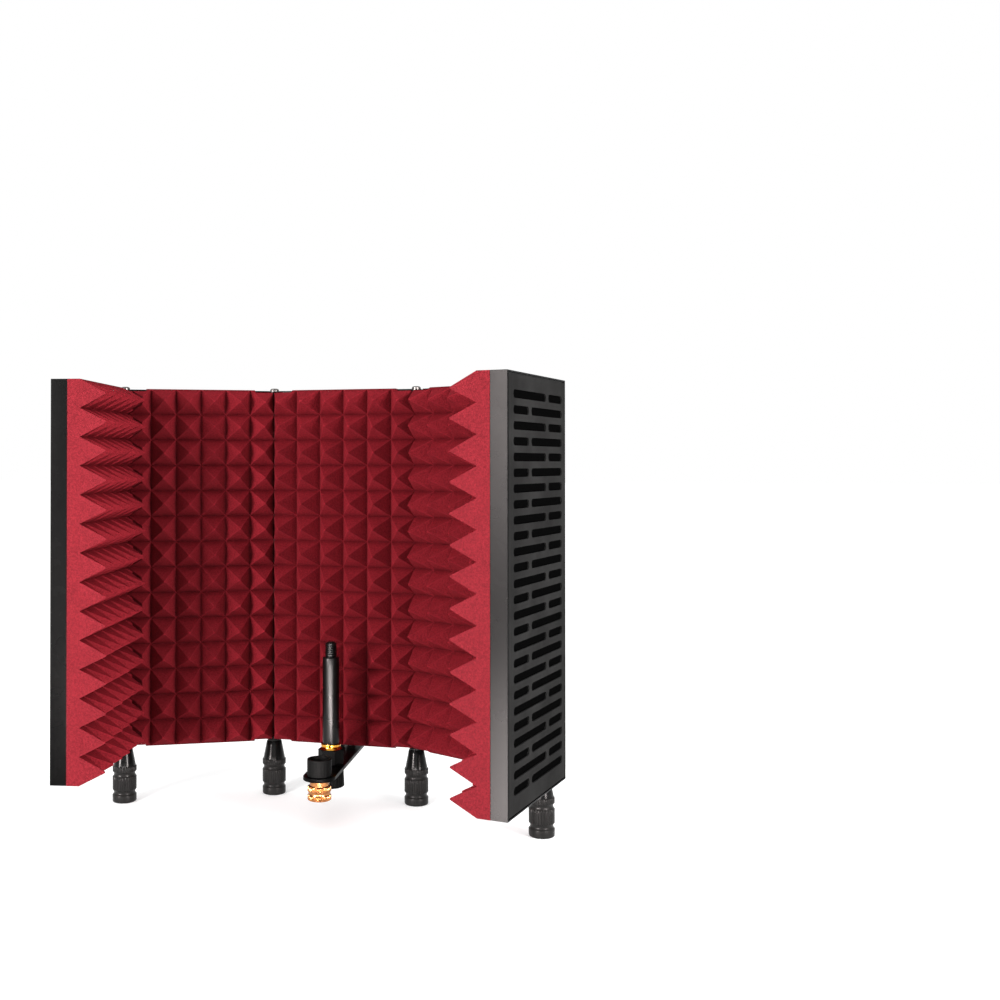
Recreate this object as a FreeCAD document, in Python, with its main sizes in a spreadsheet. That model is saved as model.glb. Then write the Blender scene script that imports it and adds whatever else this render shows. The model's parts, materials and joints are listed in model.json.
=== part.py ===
"""Folding microphone isolation shield: five foam-lined grille panels on four hinge bolts.

Frame of the row: +Z up, -Y towards the singer, origin on the surface it stands on, below
the middle of its box.  Each panel is drawn in a frame of its own, with X along its width
from the middle, Y outward from the line of its hinge bolts and Z up from its lower edge,
and is then turned and moved into place.  Millimetres and degrees throughout.
"""
import FreeCAD, Part
import math
import os
import Sketcher
from FreeCAD import Placement, Rotation, Vector

SIZES = {
    # panels and the way they stand
    "panel_width": 128.0,
    "panel_height": 310.0,
    "hinge_pitch": 130.0,       # between two hinge bolts of one panel
    "axis_depth": 20.0,         # hinge bolt's line, in from the outer face
    "inner_fold": 27.0,         # middle panel to its neighbours, as it stands
    "outer_fold": 74.0,         # neighbours to the end panels, as it stands
    "inner_fold_most": 29.0,
    "outer_fold_most": 76.0,
    # sheet-metal tray
    "tray_depth": 13.0,
    "sheet": 1.2,
    "ledge_width": 4.0,
    "reveal": 1.0,
    # slots of the grille
    "slot_height": 6.0,
    "slot_pitch": 11.05,
    "slot_margin": 11.8,         # on the free side
    "slot_margin_hinge": 8.8,
    "slot_long": 70.0,
    "slot_bridge": 5.3,
    "slot_first": 15.9,         # first row's centre, down from the top edge
    "slot_rows": 26,
    # layers inside the tray
    "felt_thick": 3.0,
    "board_thick": 2.0,
    "layer_margin": 8.0,        # above and below the layers
    "layer_gap": 0.4,
    # pyramid foam
    "foam_height": 310.0,
    "foam_base": 10.0,
    "foam_tooth": 21.0,
    "foam_flat": 1.0,           # width of a pyramid's blunt tip
    "foam_rows": 14,
    "foam_columns": 6,
    "foam_end_gap": 0.3,
    "bolt_groove_radius": 2.4,
    # hinge ears and bolts
    "ear_thick": 1.2,
    "ear_gap": 0.2,
    "ear_radius": 6.5,
    "ear_hole_radius": 2.2,
    "ear_reach": 17.0,          # along the panel, from the bolt
    "ear_inset": 2.7,
    "ear_root": 16.0,           # outward, from the bolt
    "ear_notch": 4.5,           # cut from the foam's corners, from the panel's edge
    "notch_play": 0.8,
    "bolt_radius": 2.0,
    "bolt_head_radius": 3.9,
    "bolt_head_height": 2.4,
    "washer_radius": 4.5,
    "washer_thick": 0.6,
    "thread_play": 0.05,
    # foot, from the collar down
    "foot_collar_radius": 6.1,
    "foot_collar": 1.7,
    "foot_neck_radius": 6.5,
    "foot_radius": 10.25,
    "foot_cone": 15.6,
    "foot_ring": 4.8,
    "foot_groove": 3.9,
    "foot_groove_depth": 1.1,
    "foot_barrel": 11.8,
    "foot_base": 6.6,
    "foot_edge": 1.8,
    "foot_thread_depth": 24.0,
    "flute_radius": 0.45,
    "flute_count": 36,
    # arm under the middle panel
    "arm_turn": 4.7,            # swung a little to the right, as it stands
    "arm_pivot_depth": 12.5,    # outward from the hinge bolts' line
    "arm_rod_reach": 67.5,
    "arm_stand_reach": 107.5,
    "arm_width": 26.0,
    "arm_thick": 3.0,
    "arm_back": 6.0,
    "spacer_radius": 6.5,
    "spacer_thick": 3.0,
    "pivot_radius": 3.0,
    "pivot_thread_radius": 2.5,
    "pivot_head_radius": 5.5,
    "pivot_head": 2.6,
    "weld_nut_radius": 4.6,
    "weld_nut_height": 5.0,
    "running_play": 0.08,
    # microphone rod
    "rod_radius": 6.9,
    "rod_top": 84.8,            # shoulder under the stud, above the panels' lower edge
    "stud_radius": 4.7625,      # 3/8 in
    "stud_length": 12.8,
    "stud_chamfer": 0.8,
    "rod_tail_radius": 4.0,
    "rod_tail": 16.5,
    "ring_height": 4.5,
    "ring_top_radius": 8.2,
    "ring_foot_radius": 9.2,
    "rod_nut_height": 12.0,
    "rod_nut_radius": 10.8,
    "knob_height": 16.0,
    "knob_top_radius": 10.4,
    "knob_radius": 11.2,
    "knob_edge": 1.6,
    # stand adapter and its cup nut
    "cup_height": 13.5,
    "cup_radius": 9.8,
    "cup_recess_radius": 7.6,
    "cup_recess": 4.0,
    "shank_radius": 6.0,
    "shank_top": 7.0,
    "adapter_neck_radius": 7.7,
    "adapter_neck": 4.9,
    "adapter_radius": 9.5,
    "adapter_upper_ring": 4.2,
    "adapter_groove": 2.7,
    "adapter_groove_depth": 0.65,
    "adapter_lower_ring": 4.2,
    "adapter_thread_radius": 7.43,   # 5/8 in - 27, inside
    "adapter_thread_depth": 10.5,
}

doc = FreeCAD.newDocument("microphone_isolation_shield")
sheet = doc.addObject("Spreadsheet::Sheet", "Sizes")
for row, (alias, number) in enumerate(SIZES.items(), start=1):
    sheet.set(f"A{row}", alias)
    sheet.set(f"B{row}", str(number))
    sheet.setAlias(f"B{row}", alias)
doc.recompute()


class Size:
    """A length read from the sheet, together with the expression that gives it."""

    def __init__(self, value, text):
        self.value, self.text = value, text

    @staticmethod
    def of(item):
        return item if isinstance(item, Size) else Size(float(item), repr(float(item)))

    def __add__(self, other):
        other = Size.of(other)
        return Size(self.value + other.value, f"({self.text} + {other.text})")

    def __sub__(self, other):
        other = Size.of(other)
        return Size(self.value - other.value, f"({self.text} - {other.text})")

    def __mul__(self, factor):
        factor = Size.of(factor)
        return Size(self.value * factor.value, f"({self.text} * {factor.text})")

    def __truediv__(self, divisor):
        divisor = Size.of(divisor)
        return Size(self.value / divisor.value, f"({self.text} / {divisor.text})")

    def __neg__(self):
        return self * -1


def size(alias):
    return Size(float(sheet.get(alias)), f"Sizes.{alias}")


ZERO = Size.of(0)
WIDTH, HEIGHT = size("panel_width"), size("panel_height")
AXIS = size("hinge_pitch") / 2
OUTER, INNER = size("axis_depth"), size("axis_depth") - size("tray_depth")
SHEET = size("sheet")
TIPS = INNER - size("foam_base") - size("foam_tooth")
AIR = 2.0                       # how far cutting shapes run past what they cut


# ---------------------------------------------------------------- modelling helpers

def origin_feature(body, role):
    return next(part for part in body.Origin.OriginFeatures if part.Role == role)


def new_body(label):
    body = doc.addObject("PartDesign::Body", label)
    body.Label = label
    return body


def new_sketch(body, name, role, lift=ZERO):
    """An empty sketch on one of the body's own origin planes, lifted along its normal."""
    sketch = body.newObject("Sketcher::SketchObject", name)
    sketch.AttachmentSupport = [(origin_feature(body, role), "")]
    sketch.MapMode = "FlatFace"
    sketch.AttachmentOffset = Placement(Vector(0, 0, lift.value), Rotation())
    sketch.setExpression(".AttachmentOffset.Base.z", lift.text)
    return sketch


def pin_coordinate(sketch, kind, edge, end, at):
    """Holds one coordinate of an edge's end at a signed distance from the sketch's origin."""
    if abs(at.value) < 1e-9:
        other = {"DistanceX": -2, "DistanceY": -1}[kind]
        sketch.addConstraint(Sketcher.Constraint("PointOnObject", edge, end, other))
        return
    if at.value > 0:
        constraint = Sketcher.Constraint(kind, -1, 1, edge, end, at.value)
        text = at.text
    else:
        constraint = Sketcher.Constraint(kind, edge, end, -1, 1, -at.value)
        text = (-at).text
    index = sketch.addConstraint(constraint)
    sketch.setExpression(f"Constraints[{index}]", text)


def draw_polygon(sketch, corners):
    """A closed outline through corners, each a pair of sizes."""
    count = len(corners)
    first = sketch.GeometryCount
    points = [Vector(x.value, y.value, 0) for x, y in corners]
    for i in range(count):
        sketch.addGeometry(Part.LineSegment(points[i], points[(i + 1) % count]), False)
    for i in range(count):
        following = first + (i + 1) % count
        sketch.addConstraint(Sketcher.Constraint("Coincident", first + i, 2, following, 1))
    for i, (x, y) in enumerate(corners):
        pin_coordinate(sketch, "DistanceX", first + i, 1, x)
        pin_coordinate(sketch, "DistanceY", first + i, 1, y)


def draw_rectangle(sketch, left, right, low, high):
    draw_polygon(sketch, [(left, low), (right, low), (right, high), (left, high)])


def draw_circle(sketch, x, y, radius):
    centre = Vector(x.value, y.value, 0)
    edge = sketch.addGeometry(Part.Circle(centre, Vector(0, 0, 1), radius.value), False)
    pin_coordinate(sketch, "DistanceX", edge, 3, x)
    pin_coordinate(sketch, "DistanceY", edge, 3, y)
    index = sketch.addConstraint(Sketcher.Constraint("Radius", edge, radius.value))
    sketch.setExpression(f"Constraints[{index}]", radius.text)


def draw_slot(sketch, left, right, middle, radius):
    """A round-ended slot along the sketch's X."""
    a, b, y, r = left.value, right.value, middle.value, radius.value
    up = Vector(0, 0, 1)
    start = Part.ArcOfCircle(Part.Circle(Vector(a, y, 0), up, r), math.pi / 2, 1.5 * math.pi)
    end = Part.ArcOfCircle(Part.Circle(Vector(b, y, 0), up, r), -math.pi / 2, math.pi / 2)
    first = sketch.addGeometry(start, False)
    last = sketch.addGeometry(end, False)
    low = sketch.addGeometry(Part.LineSegment(Vector(a, y - r, 0), Vector(b, y - r, 0)), False)
    high = sketch.addGeometry(Part.LineSegment(Vector(b, y + r, 0), Vector(a, y + r, 0)), False)
    joins = [(first, 2, low, 1), (low, 2, last, 1), (last, 2, high, 1), (high, 2, first, 1)]
    for edge, end_point, following, start_point in joins:
        sketch.addConstraint(
            Sketcher.Constraint("Tangent", edge, end_point, following, start_point))
    pin_coordinate(sketch, "DistanceX", first, 3, left)
    pin_coordinate(sketch, "DistanceX", last, 3, right)
    pin_coordinate(sketch, "DistanceY", first, 3, middle)
    index = sketch.addConstraint(Sketcher.Constraint("Radius", first, r))
    sketch.setExpression(f"Constraints[{index}]", radius.text)


def pad(body, name, sketch, length):
    feature = body.newObject("PartDesign::Pad", name)
    feature.Profile = sketch
    feature.Length = length.value
    feature.setExpression("Length", length.text)
    return feature


def pocket(body, name, sketch, length=None, upward=False):
    """Cuts through everything, or as deep as length to one side of the sketch."""
    feature = body.newObject("PartDesign::Pocket", name)
    feature.Profile = sketch
    if length is None:
        feature.Type = "ThroughAll"
        feature.SideType = "Symmetric"
    else:
        feature.Length = length.value
        feature.setExpression("Length", length.text)
        feature.Reversed = upward
    return feature


def repeat_along(body, name, feature, role, step, count):
    """Repeats a feature along one of the body's axes."""
    pattern = body.newObject("PartDesign::LinearPattern", name)
    pattern.Originals = [feature]
    pattern.Direction = (origin_feature(body, role), [""])
    pattern.Mode = "Spacing"
    pattern.Offset = step.value
    pattern.setExpression("Offset", step.text)
    pattern.Occurrences = round(count.value)
    pattern.setExpression("Occurrences", count.text)
    body.Tip = pattern
    return pattern


def repeat_round(body, name, features, count):
    pattern = body.newObject("PartDesign::PolarPattern", name)
    pattern.Originals = features
    pattern.Axis = (origin_feature(body, "Z_Axis"), [""])
    pattern.Occurrences = round(count.value)
    pattern.setExpression("Occurrences", count.text)
    body.Tip = pattern
    return pattern


def turned(label, profile):
    """A body turned about its Z axis; profile gives (radius, height) corners."""
    body = new_body(label)
    sketch = new_sketch(body, f"{label}_profile", "XZ_Plane")
    draw_polygon(sketch, profile)
    feature = body.newObject("PartDesign::Revolution", f"{label}_turning")
    feature.Profile = sketch
    feature.ReferenceAxis = (sketch, ["V_Axis"])
    return body


def knurl(body, bands, radius):
    """Straight flutes round a turned body; bands are (low, high) stretches of its wall."""
    cuts = []
    for number, (low, high) in enumerate(bands):
        sketch = new_sketch(body, f"{body.Name}_flute_{number}", "XY_Plane", low)
        draw_circle(sketch, radius, ZERO, size("flute_radius"))
        cuts.append(pocket(body, f"{body.Name}_flute_cut_{number}", sketch, high - low, True))
    repeat_round(body, f"{body.Name}_knurl", cuts, size("flute_count"))


def box(label, corner, lengths):
    shape = doc.addObject("Part::Box", label)
    for name, length in zip(("Length", "Width", "Height"), lengths):
        setattr(shape, name, length.value)
        shape.setExpression(name, length.text)
    shape.Placement.Base = Vector(*(c.value for c in corner))
    for name, c in zip("xyz", corner):
        shape.setExpression(f".Placement.Base.{name}", c.text)
    return shape


def cylinder(label, centre, radius, height):
    shape = doc.addObject("Part::Cylinder", label)
    shape.Radius = radius.value
    shape.setExpression("Radius", radius.text)
    shape.Height = height.value
    shape.setExpression("Height", height.text)
    shape.Placement.Base = Vector(*(c.value for c in centre))
    for name, c in zip("xyz", centre):
        shape.setExpression(f".Placement.Base.{name}", c.text)
    return shape


def combine(kind, label, shapes):
    """A boolean or a group of primitives: kind is Part::Fuse, Part::Cut, Part::MultiFuse
    or Part::Compound."""
    result = doc.addObject(kind, label)
    if kind in ("Part::Fuse", "Part::Cut"):
        result.Base, result.Tool = shapes
    elif kind == "Part::Compound":
        result.Links = shapes
    else:
        result.Shapes = shapes
    return result


# ---------------------------------------------------------------- where things stand

def plan_point(origin, angle, along, outward=0.0):
    """A point in plan, from a panel's start: along its width and outward from it."""
    return (
        origin[0] + along * math.cos(angle) + outward * math.sin(angle),
        origin[1] - along * math.sin(angle) + outward * math.cos(angle),
    )


INNER_FOLD = math.radians(float(sheet.get("inner_fold")))
OUTER_FOLD = math.radians(float(sheet.get("outer_fold")))
WING_ANGLE = INNER_FOLD + OUTER_FOLD
PITCH = AXIS.value * 2

hinge_3 = (AXIS.value, 0.0)
hinge_4 = plan_point(hinge_3, INNER_FOLD, PITCH)
panel_far_end = (PITCH + WIDTH.value) / 2
wing_corner = plan_point(hinge_4, WING_ANGLE, panel_far_end, OUTER.value)

# The row's origin is below the middle of the box, so the hinge line stands behind it.
HINGE_LINE_Y = -(wing_corner[1] + OUTER.value) / 2
FOOT_DROP = sum(
    float(sheet.get(part))
    for part in ("foot_cone", "foot_ring", "foot_groove", "foot_barrel", "foot_groove", "foot_base")
)
COLLAR_TOP = SHEET - 0.1                       # just under the lower ears
LIFT = FOOT_DROP + float(sheet.get("foot_collar")) - COLLAR_TOP.value


def in_row(x, y, z=0.0, turn=0.0):
    """A placement from the middle panel's frame into the row's."""
    return Placement(Vector(x, y + HINGE_LINE_Y, z + LIFT), Rotation(Vector(0, 0, 1), turn))


PANEL_START = {
    3: ((-AXIS.value, 0.0), 0.0),
    4: (hinge_3, INNER_FOLD),
    5: (hinge_4, WING_ANGLE),
}


def panel_placement(panel):
    """Panels 1 and 2 mirror 5 and 4."""
    if panel >= 3:
        start, angle = PANEL_START[panel]
        x, y = plan_point(start, angle, AXIS.value)
        return in_row(x, y, turn=-math.degrees(angle))
    start, angle = PANEL_START[6 - panel]
    x, y = plan_point(start, angle, AXIS.value)
    return in_row(-x, y, turn=math.degrees(angle))


HINGE_AT = {1: (-hinge_4[0], hinge_4[1]), 2: (-AXIS.value, 0.0), 3: hinge_3, 4: hinge_4}

# ---------------------------------------------------------------- panels

finished = []                                  # every sub-part, in the order it is made


def keep(part, placement):
    part.Placement = placement
    finished.append(part)


def frame_tray(panel):
    """Folded rim round the panel, with a ledge that the grille plate lies on."""
    label = f"tray_frame_{panel}"
    body = new_body(label)
    half, lip = WIDTH / 2, SHEET + size("ledge_width")
    outline = new_sketch(body, f"{label}_outline", "XY_Plane")
    draw_rectangle(outline, -half, half, INNER, OUTER)
    pad(body, f"{label}_block", outline, HEIGHT)
    window = new_sketch(body, f"{label}_window", "XY_Plane", lip)
    draw_rectangle(window, -half + lip, half - lip, INNER - AIR, OUTER + AIR)
    pocket(body, f"{label}_window_cut", window, HEIGHT - lip * 2, True)
    inside = new_sketch(body, f"{label}_inside", "XY_Plane", SHEET)
    draw_rectangle(inside, -half + SHEET, half - SHEET, INNER - AIR, OUTER - SHEET * 2)
    pocket(body, f"{label}_inside_cut", inside, HEIGHT - SHEET * 2, True)
    seat = new_sketch(body, f"{label}_seat", "XY_Plane", SHEET)
    draw_rectangle(seat, -half + SHEET, half - SHEET, OUTER - SHEET, OUTER + AIR)
    last = pocket(body, f"{label}_seat_cut", seat, HEIGHT - SHEET * 2, True)
    if panel == 3:
        hole = new_sketch(body, f"{label}_pivot_hole", "XY_Plane")
        play = size("pivot_thread_radius") + size("running_play")
        draw_circle(hole, ZERO, size("arm_pivot_depth"), play)
        last = pocket(body, f"{label}_pivot_hole_cut", hole, SHEET, True)
    body.Tip = last
    return body


def grille(panel):
    """Plate with rows of long and short slots; the bridge changes side from row to row."""
    label = f"grille_{panel}"
    body = new_body(label)
    rim = SHEET + size("reveal")
    half = WIDTH / 2 - rim
    outline = new_sketch(body, f"{label}_outline", "XY_Plane", rim)
    draw_rectangle(outline, -half, half, OUTER - SHEET, OUTER)
    pad(body, f"{label}_plate", outline, HEIGHT - rim * 2)

    free_side = -1 if panel <= 2 else 1
    radius = size("slot_height") / 2
    edges = {free_side: WIDTH / 2 - size("slot_margin"),
             -free_side: WIDTH / 2 - size("slot_margin_hinge")}
    long_slot, bridge = size("slot_long"), size("slot_bridge")
    step = size("slot_pitch")
    start = HEIGHT - size("slot_first") - step * (size("slot_rows") - 1)
    pair = new_sketch(body, f"{label}_slots", "XZ_Plane")
    # The upper row of each pair has its long slot on the wing's free side.
    for level, side in ((0, -free_side), (1, free_side)):
        middle = start + step * level
        if side < 0:
            spans = [(-edges[-1], -edges[-1] + long_slot),
                     (-edges[-1] + long_slot + bridge, edges[1])]
        else:
            spans = [(edges[1] - long_slot, edges[1]),
                     (-edges[-1], edges[1] - long_slot - bridge)]
        for left, right in spans:
            draw_slot(pair, left + radius, right - radius, middle, radius)
    cut = pocket(body, f"{label}_slot_cut", pair)
    repeat_along(body, f"{label}_rows", cut, "Z_Axis", step * 2, size("slot_rows") / 2)
    return body


def layer(name, panel, outer_face, thick):
    """A plain sheet inside the tray, in a group that can be set in the row as a whole."""
    rim = SHEET + size("layer_gap")
    if name == "felt_liner":
        rim = rim + size("ledge_width")
    margin = size("layer_margin")
    corner = (-WIDTH / 2 + rim, outer_face - thick, margin)
    sheet_cut = box(f"{name}_{panel}_cut", corner, (WIDTH - rim * 2, thick, HEIGHT - margin * 2))
    return combine("Part::Compound", f"{name}_{panel}", [sheet_cut])


def foam(panel):
    """Slab with grooves both ways, which leave pyramids; beside the hinges it is mitred
    and its corners are notched round the ears."""
    label = f"pyramid_foam_{panel}"
    body = new_body(label)
    low = (HEIGHT - size("foam_height")) / 2
    reach = AXIS - size("foam_end_gap")
    free_end = WIDTH / 2
    left = -free_end if panel == 1 else -reach
    right = free_end if panel == 5 else reach
    outline = new_sketch(body, f"{label}_outline", "XY_Plane", low)
    draw_rectangle(outline, left, right, TIPS, INNER)
    pad(body, f"{label}_slab", outline, size("foam_height"))

    valley = TIPS + size("foam_tooth")
    past = TIPS - AIR
    column = reach * 2 / size("foam_columns")
    opening = (column - size("foam_flat")) / 2
    first = {1: -free_end + column / 2, 5: free_end - column * 5.5}.get(panel, -reach)
    count = size("foam_columns") if panel in (1, 5) else size("foam_columns") + 1
    groove = new_sketch(body, f"{label}_groove", "XY_Plane", low - AIR)
    draw_polygon(groove, [
        (first, valley), (first - opening, TIPS), (first - opening, past),
        (first + opening, past), (first + opening, TIPS),
    ])
    cut = pocket(body, f"{label}_groove_cut", groove, size("foam_height") + AIR * 2, True)
    repeat_along(body, f"{label}_columns", cut, "X_Axis", column, count)

    pitch = size("foam_height") / size("foam_rows")
    opening = (pitch - size("foam_flat")) / 2
    channel = new_sketch(body, f"{label}_channel", "YZ_Plane")
    draw_polygon(channel, [
        (valley, low), (TIPS, low - opening), (past, low - opening),
        (past, low + opening), (TIPS, low + opening),
    ])
    cut = pocket(body, f"{label}_channel_cut", channel)
    last = repeat_along(body, f"{label}_rows", cut, "Z_Axis", pitch, size("foam_rows") + 1)

    for side, fold in HINGE_SIDES[panel]:
        slope = math.tan(math.radians(float(sheet.get(f"{fold}_fold_most")) / 2))
        slope_text = f"tan(Sizes.{fold}_fold_most / 2 * 1 deg)"
        lean = Size(slope, slope_text) * (-past)
        end = reach * side
        mitre = new_sketch(body, f"{label}_mitre_{fold}_{side}".replace("-", "n"), "XY_Plane")
        draw_polygon(mitre, [
            (end, ZERO), (end - lean * side, past), (end + Size.of(AIR * side), past),
            (end + Size.of(AIR * side), ZERO),
        ])
        pocket(body, f"{mitre.Name}_cut", mitre)
        round_bolt = new_sketch(body, f"{mitre.Name}_bolt", "XY_Plane")
        draw_circle(round_bolt, AXIS * side, ZERO, size("bolt_groove_radius"))
        pocket(body, f"{round_bolt.Name}_cut", round_bolt)
        play = size("notch_play")
        ends = [(AXIS - size("ear_reach") - play) * side, (AXIS + AIR) * side]
        near, far = sorted(ends, key=lambda end: end.value)
        for spot, level in (("top", HEIGHT - size("ear_notch")), ("low", ZERO)):
            notch = new_sketch(body, f"{mitre.Name}_notch_{spot}", "XY_Plane", level)
            draw_rectangle(notch, near, far, -size("ear_radius") - play, INNER + AIR)
            last = pocket(body, f"{notch.Name}_cut", notch, size("ear_notch"), True)
    body.Tip = last
    return body


HINGE_SIDES = {
    1: [(1, "outer")],
    2: [(-1, "outer"), (1, "inner")],
    3: [(-1, "inner"), (1, "inner")],
    4: [(-1, "inner"), (1, "outer")],
    5: [(-1, "outer")],
}


def ear(label, side, at_top, lower_level):
    """A plate under the flange, rounded about the hinge bolt; the lower level has a pad."""
    thick, gap = size("ear_thick"), size("ear_gap")
    drop = SHEET + (thick + gap if lower_level else ZERO)
    low = HEIGHT - drop - thick if at_top else drop
    reach, inset, root = size("ear_reach"), size("ear_inset"), size("ear_root")
    start = AXIS - reach if side > 0 else -AXIS + inset
    bolt = (AXIS * side, ZERO, low)
    web = box(f"{label}_web", (start, ZERO, low), (reach - inset, root, thick))
    disc = cylinder(f"{label}_disc", bolt, size("ear_radius"), thick)
    pieces = [web, disc]
    if lower_level:
        pad_start = size("ear_radius") + AIR
        pad_low = low + thick if at_top else low - thick - gap
        pieces.append(box(
            f"{label}_pad", (start, pad_start, pad_low),
            (reach - inset, root - pad_start, thick + gap)))
    plate = combine("Part::MultiFuse", f"{label}_plate", pieces)
    hole = cylinder(f"{label}_hole", bolt, size("ear_hole_radius"), thick)
    return combine("Part::Cut", label, (plate, hole))


def hinge_ears(panel):
    """The panel's ears at both ends of each of its hinge bolts, as one group."""
    ears = []
    for side, _ in HINGE_SIDES[panel]:
        for at_top in (True, False):
            name = f"ear_{panel}_{'right' if side > 0 else 'left'}_{'top' if at_top else 'low'}"
            ears.append(ear(name, side, at_top, lower_level=panel in (2, 4)))
    return combine("Part::Compound", f"hinge_ears_{panel}", ears)


for panel in range(1, 6):
    placement = panel_placement(panel)
    felt_face = OUTER - SHEET
    core_face = felt_face - size("felt_thick")
    board_face = INNER + size("board_thick")
    keep(frame_tray(panel), placement)
    keep(grille(panel), placement)
    keep(layer("felt_liner", panel, felt_face, size("felt_thick")), placement)
    keep(layer("absorber_batt", panel, core_face, core_face - board_face), placement)
    keep(layer("backer_board", panel, board_face, size("board_thick")), placement)
    keep(foam(panel), placement)
    keep(hinge_ears(panel), placement)

# ---------------------------------------------------------------- hinge bolts and feet

for number, (x, y) in HINGE_AT.items():
    top = HEIGHT - SHEET
    seat = top + size("washer_thick")
    crown = size("bolt_head_height")
    head, shank = size("bolt_head_radius"), size("bolt_radius")
    bolt = turned(f"hinge_bolt_{number}", [
        (ZERO, -size("foot_thread_depth") + AIR), (shank, -size("foot_thread_depth") + AIR),
        (shank, seat), (head, seat), (head, seat + crown * 0.35),
        (head * 0.8, seat + crown * 0.75), (head * 0.4, seat + crown), (ZERO, seat + crown),
    ])
    keep(bolt, in_row(x, y))

    ring = cylinder(f"washer_{number}_disc", (ZERO, ZERO, top),
                    size("washer_radius"), size("washer_thick"))
    bore = cylinder(f"washer_{number}_bore", (ZERO, ZERO, top),
                    size("ear_hole_radius"), size("washer_thick"))
    keep(combine("Part::Cut", f"bolt_washer_{number}", (ring, bore)), in_row(x, y))

    collar_low = COLLAR_TOP - size("foot_collar")
    cone_low = collar_low - size("foot_cone")
    ring_low = cone_low - size("foot_ring")
    barrel_top = ring_low - size("foot_groove")
    barrel_low = barrel_top - size("foot_barrel")
    base_top = barrel_low - size("foot_groove")
    base = base_top - size("foot_base")
    full, edge = size("foot_radius"), size("foot_edge")
    waist = full - size("foot_groove_depth")
    thread = shank + size("thread_play")
    depth = -size("foot_thread_depth")
    slope = size("foot_groove") * 0.3
    foot = turned(f"foot_{number}", [
        (thread, COLLAR_TOP), (thread, depth), (ZERO, depth), (ZERO, base),
        (full - edge, base), (full - edge * 0.3, base + edge * 0.3), (full, base + edge),
        (full, base_top), (waist, base_top + slope), (waist, barrel_low - slope),
        (full, barrel_low), (full, barrel_top), (waist, barrel_top + slope),
        (waist, ring_low - slope), (full, ring_low), (full, cone_low),
        (size("foot_neck_radius"), collar_low), (size("foot_collar_radius"), collar_low),
        (size("foot_collar_radius"), COLLAR_TOP),
    ])
    knurl(foot, [(barrel_low, barrel_top), (ring_low, cone_low)], full)
    keep(foot, in_row(x, y))

# ---------------------------------------------------------------- arm and its hardware

ARM_TURN = math.radians(float(sheet.get("arm_turn")))
PIVOT = (0.0, float(sheet.get("arm_pivot_depth")))


def on_arm(reach):
    """A placement at a distance along the arm from its pivot, toward the singer."""
    x = PIVOT[0] + reach.value * math.sin(ARM_TURN)
    y = PIVOT[1] - reach.value * math.cos(ARM_TURN)
    return in_row(x, y, turn=math.degrees(ARM_TURN))


ARM_TOP = -size("spacer_thick")
ARM_LOW = ARM_TOP - size("arm_thick")
ROD_AT, STAND_AT = size("arm_rod_reach"), size("arm_stand_reach")

plate = new_body("arm_plate")
half = size("arm_width") / 2
outline = new_sketch(plate, "arm_outline", "XY_Plane", ARM_LOW)
draw_rectangle(outline, -half, half, -STAND_AT, size("arm_back"))
pad(plate, "arm_strip", outline, size("arm_thick"))
nose = new_sketch(plate, "arm_nose", "XY_Plane", ARM_LOW)
draw_circle(nose, ZERO, -STAND_AT, half)
pad(plate, "arm_round_end", nose, size("arm_thick"))
holes = new_sketch(plate, "arm_holes", "XY_Plane", ARM_LOW)
draw_circle(holes, ZERO, ZERO, size("pivot_radius") + size("running_play"))
draw_circle(holes, ZERO, -ROD_AT, size("rod_tail_radius") + size("running_play"))
draw_circle(holes, ZERO, -STAND_AT, size("shank_radius") + size("running_play"))
plate.Tip = pocket(plate, "arm_hole_cut", holes)
keep(plate, on_arm(ZERO))

spacer = cylinder("pivot_spacer_disc", (ZERO, ZERO, ARM_TOP),
                  size("spacer_radius"), size("spacer_thick"))
spacer_bore = cylinder("pivot_spacer_bore", (ZERO, ZERO, ARM_TOP),
                       size("pivot_radius") + size("running_play"), size("spacer_thick"))
keep(combine("Part::Cut", "pivot_spacer", (spacer, spacer_bore)), on_arm(ZERO))

weld_nut_top = SHEET + size("weld_nut_height")
head_top = ARM_LOW - size("thread_play")
keep(turned("pivot_screw", [
    (ZERO, head_top - size("pivot_head")),
    (size("pivot_head_radius") * 0.7, head_top - size("pivot_head")),
    (size("pivot_head_radius"), head_top - size("pivot_head") * 0.4),
    (size("pivot_head_radius"), head_top), (size("pivot_radius"), head_top),
    (size("pivot_radius"), ZERO), (size("pivot_thread_radius"), ZERO),
    (size("pivot_thread_radius"), weld_nut_top), (ZERO, weld_nut_top),
]), in_row(*PIVOT))


def hex_nut(label, radius, low, height, bore):
    """A six-sided nut, radius to its corners, with a round bore."""
    body = new_body(label)
    outline = new_sketch(body, f"{label}_outline", "XY_Plane", low)
    corners = [(radius * math.cos(math.radians(60 * k)), radius * math.sin(math.radians(60 * k)))
               for k in range(6)]
    draw_polygon(outline, corners)
    pad(body, f"{label}_prism", outline, height)
    hole = new_sketch(body, f"{label}_bore", "XY_Plane", low)
    draw_circle(hole, ZERO, ZERO, bore)
    body.Tip = pocket(body, f"{label}_bore_cut", hole)
    return body


keep(hex_nut("weld_nut", size("weld_nut_radius"), SHEET, size("weld_nut_height"),
             size("pivot_thread_radius") + size("thread_play")), in_row(*PIVOT))

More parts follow.
